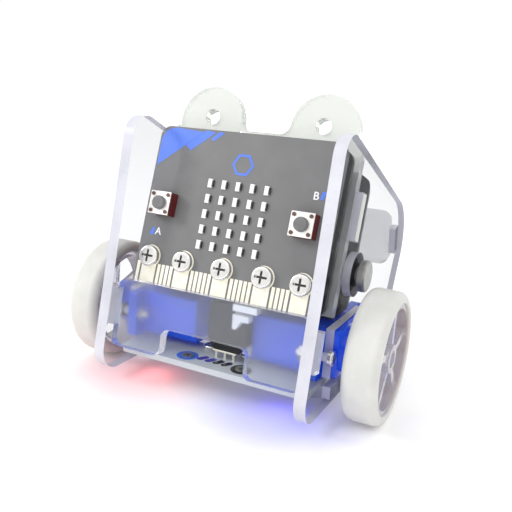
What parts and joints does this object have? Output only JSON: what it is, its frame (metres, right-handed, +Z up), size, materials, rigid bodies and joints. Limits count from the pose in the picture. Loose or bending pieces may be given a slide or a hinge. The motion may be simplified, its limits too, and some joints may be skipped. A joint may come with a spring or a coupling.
{
  "type": "line follower robot",
  "caption": "Two-wheeled line follower robot: slotted clear acrylic frame, leaning controller board, two geared servos, spoked wheels, sensor board and ball caster.",
  "frame": {"origin": "on the ground, under the middle of the outline", "axes": "+Z up, -Y forward, +X to the right-hand wheel seen from the front"},
  "size_m": [0.0876, 0.0775, 0.078],
  "materials": {
    "clear_acrylic": "clear, polished edges",
    "gray_acrylic": "clear, smoke gray tint",
    "frosted_acrylic": "frosted",
    "milky_acrylic": "milky, greenish white",
    "gray_board": "satin solder mask",
    "black_board": "satin solder mask",
    "gold": "plated",
    "white_plastic": "moulded",
    "black_plastic": "moulded",
    "gray_plastic": "moulded",
    "steel": "plated",
    "satin_steel": "satin plated",
    "white_board": "satin white solder mask",
    "brass_metal": "turned",
    "switch_shell": "dark red and metal face",
    "blue_clear": "translucent moulded",
    "white_gear": "moulded nylon",
    "motor_can": "drawn can",
    "clear_rim": "clear moulded",
    "white_tyre": "soft silicone",
    "cell_wrap": "printed wrap",
    "lit_lens": "lit lens, red on the left and blue on the right",
    "ball_steel": "ground"
  },
  "bodies": {
    "chassis": {"back_brace": "gray_acrylic", "base_plate": "clear_acrylic", "base_screws": "steel", "battery_box": "black_plastic", "battery_cells": "cell_wrap", "battery_contacts": "steel", "battery_lid": "gray_plastic", "battery_socket": "white_plastic", "board_screws": "steel", "brass_spacers": "brass_metal", "button_bodies": "switch_shell", "caster_housing": "black_plastic", "colour_lights": "lit_lens", "controller_board": "gray_board", "controller_chips": "black_plastic", "driver_board": "black_board", "ear_plate": "milky_acrylic", "edge_contacts": "gold", "front_plate": "frosted_acrylic", "infrared_sensors": "black_plastic", "led_matrix": "white_plastic", "power_switch_body": "black_plastic", "sensor_board": "white_board", "sensor_connector": "white_plastic", "sensor_contacts": "black_plastic", "sensor_eyelets": "satin_steel", "sensor_header": "gold", "sensor_plug": "black_plastic", "servo_circuits": "black_board", "servo_gear_pins": "steel", "servo_headers": "black_plastic", "servo_left_case": "blue_clear", "servo_left_cover": "blue_clear", "servo_left_top": "blue_clear", "servo_motors": "motor_can", "servo_nuts": "steel", "servo_right_case": "blue_clear", "servo_right_cover": "blue_clear", "servo_right_top": "blue_clear", "servo_screws": "steel", "side_plate_left": "clear_acrylic", "side_plate_right": "clear_acrylic", "usb_socket": "steel"},
    "wheel_left": {"wheel_left_rim": "clear_rim", "wheel_left_tyre": "white_tyre", "wheel_left_screw": "steel", "servo_left_output": "white_gear"},
    "double_gear_left": {"servo_left_double_gear": "white_gear"},
    "pinion_left": {"servo_left_pinion": "brass_metal"},
    "wheel_right": {"wheel_right_rim": "clear_rim", "wheel_right_tyre": "white_tyre", "wheel_right_screw": "steel", "servo_right_output": "white_gear"},
    "double_gear_right": {"servo_right_double_gear": "white_gear"},
    "pinion_right": {"servo_right_pinion": "brass_metal"},
    "button_a": {"button_a_plunger": "gray_plastic"},
    "button_b": {"button_b_plunger": "gray_plastic"},
    "reset_button": {"reset_button_plunger": "gray_plastic"},
    "power_button": {"power_button": "satin_steel"},
    "caster_ball": {"caster_ball": "ball_steel"}
  },
  "joints": [
    {"name": "wheel_left_spin", "type": "hinge", "parent": "chassis", "child": "wheel_left", "pos_m": [0, -0.0168, 0.0166], "axis": [1, 0, 0], "continuous": true},
    {"name": "double_gear_left_spin", "type": "hinge", "parent": "chassis", "child": "double_gear_left", "pos_m": [0, -0.0104, 0.0166], "axis": [1, 0, 0], "continuous": true},
    {"name": "pinion_left_spin", "type": "hinge", "parent": "chassis", "child": "pinion_left", "pos_m": [0, -0.0054, 0.0166], "axis": [1, 0, 0], "continuous": true},
    {"name": "wheel_right_spin", "type": "hinge", "parent": "chassis", "child": "wheel_right", "pos_m": [0, -0.0168, 0.0166], "axis": [1, 0, 0], "continuous": true},
    {"name": "double_gear_right_spin", "type": "hinge", "parent": "chassis", "child": "double_gear_right", "pos_m": [0, -0.0104, 0.0166], "axis": [1, 0, 0], "continuous": true},
    {"name": "pinion_right_spin", "type": "hinge", "parent": "chassis", "child": "pinion_right", "pos_m": [0, -0.0054, 0.0166], "axis": [1, 0, 0], "continuous": true},
    {"name": "button_a_press", "type": "slide", "parent": "chassis", "child": "button_a", "axis": [0, 0.9593, -0.2823], "range_m": [0, 0.0004], "stiffness_N_per_m": 3000, "springref_m": -0.0002},
    {"name": "button_b_press", "type": "slide", "parent": "chassis", "child": "button_b", "axis": [0, 0.9593, -0.2823], "range_m": [0, 0.0004], "stiffness_N_per_m": 3000, "springref_m": -0.0002},
    {"name": "reset_button_press", "type": "slide", "parent": "chassis", "child": "reset_button", "axis": [0, -0.9593, 0.2823], "range_m": [0, 0.00025], "stiffness_N_per_m": 3000, "springref_m": -0.0002},
    {"name": "power_button_press", "type": "slide", "parent": "chassis", "child": "power_button", "axis": [-1, 0, 0], "range_m": [0, 0.0009], "stiffness_N_per_m": 1500, "springref_m": -0.0005},
    {"name": "caster_ball_roll", "type": "hinge", "parent": "chassis", "child": "caster_ball", "pos_m": [0, 0.014, 0.0055], "axis": [1, 0, 0], "continuous": true}
  ],
  "couplings": [
    {"joint": "double_gear_left_spin", "follows": "wheel_left_spin", "ratio": -2.5556},
    {"joint": "pinion_left_spin", "follows": "wheel_left_spin", "ratio": 5.4306},
    {"joint": "double_gear_right_spin", "follows": "wheel_right_spin", "ratio": -2.5556},
    {"joint": "pinion_right_spin", "follows": "wheel_right_spin", "ratio": 5.4306}
  ]
}
